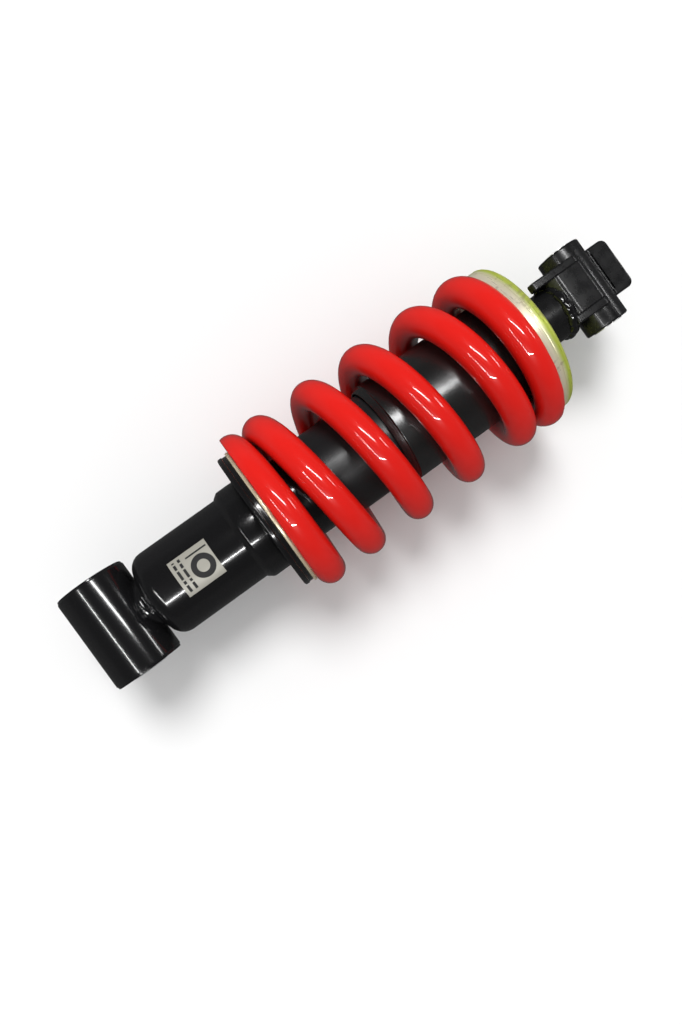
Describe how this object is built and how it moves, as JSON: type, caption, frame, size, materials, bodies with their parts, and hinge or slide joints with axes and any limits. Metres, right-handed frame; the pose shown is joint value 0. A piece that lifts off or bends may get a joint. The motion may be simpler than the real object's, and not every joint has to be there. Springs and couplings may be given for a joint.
{
  "type": "motorcycle rear shock absorber",
  "caption": "Motorcycle rear shock absorber: gloss red coil spring over a black damper, with a welded bolt eye at one end and a forged pivot yoke at the other.",
  "frame": {"origin": "centre of the bolt hole in the eye at the damper's closed end", "axes": "+X along the damper from the eye to the pivot end, +Y along the eye's bolt, +Z square to both"},
  "size_m": [0.2916, 0.08, 0.08],
  "materials": {
    "black_gloss": "gloss",
    "black_satin": "satin",
    "black_yoke": "satin",
    "black_sleeve": "satin",
    "red_gloss": "gloss",
    "rubber": "matte",
    "foam": "matte",
    "zinc": "satin",
    "gold_zinc": "satin",
    "yellow_zinc": "satin",
    "label": "satin",
    "alloy": "satin",
    "spring_steel": "satin",
    "chrome": "polished",
    "bronze": "satin",
    "band": "matte"
  },
  "bodies": {
    "damper": {"eye_tube": "black_gloss", "eye_rubber": "rubber", "eye_neck": "black_gloss", "eye_weld": "black_gloss", "damper_tube": "black_gloss", "data_label": "label", "seat_collar": "black_gloss", "lower_seat": "black_gloss", "seat_washer": "gold_zinc", "coil_spring": "red_gloss", "rod_guide": "alloy", "guide_bush": "bronze", "guide_ring": "rubber", "rod_seal": "rubber", "seal_circlip": "spring_steel", "tube_cap": "black_satin", "rod_wiper": "rubber"},
    "spring_seat": {"upper_seat": "yellow_zinc", "dust_sleeve": "black_sleeve"},
    "rod_assembly": {"damper_rod": "chrome", "piston": "alloy", "piston_band": "band", "shims_compression": "spring_steel", "shims_rebound": "spring_steel", "piston_nut": "zinc", "top_out_ring": "rubber", "bump_stop": "foam", "rod_stem": "black_gloss", "stem_weld": "black_gloss", "yoke": "black_yoke", "yoke_plate_left": "black_yoke", "yoke_plate_right": "black_yoke", "pivot_tube": "black_yoke", "pivot_bush": "bronze"},
    "eye_inner_sleeve": {"eye_sleeve": "zinc"},
    "pivot_inner_sleeve": {"pivot_sleeve": "zinc"},
    "gas_piston": {"float_piston": "alloy", "float_ring": "rubber"}
  },
  "joints": [
    {"name": "damper_stroke", "type": "slide", "parent": "damper", "child": "spring_seat", "axis": [-1, 0, 0], "range_m": [0, 0.042], "stiffness_N_per_m": 45000, "springref_m": -0.004, "deforming": ["coil_spring"]},
    {"name": "rod_swivel", "type": "hinge", "parent": "spring_seat", "child": "rod_assembly", "pos_m": [0.22, 0, 0], "axis": [1, 0, 0], "continuous": true},
    {"name": "eye_sleeve_twist", "type": "hinge", "parent": "damper", "child": "eye_inner_sleeve", "pos_m": [0, 0, 0], "axis": [0, 1, 0], "range_deg": [-18, 18], "stiffness_Nm_per_rad": 6},
    {"name": "pivot_sleeve_turn", "type": "hinge", "parent": "rod_assembly", "child": "pivot_inner_sleeve", "pos_m": [0.254, 0.0018, 0], "axis": [0, 1, 0], "continuous": true},
    {"name": "gas_piston_slide", "type": "slide", "parent": "damper", "child": "gas_piston", "axis": [-1, 0, 0], "range_m": [0, 0.00672]}
  ],
  "couplings": [
    {"joint": "gas_piston_slide", "follows": "damper_stroke", "ratio": 0.16}
  ]
}
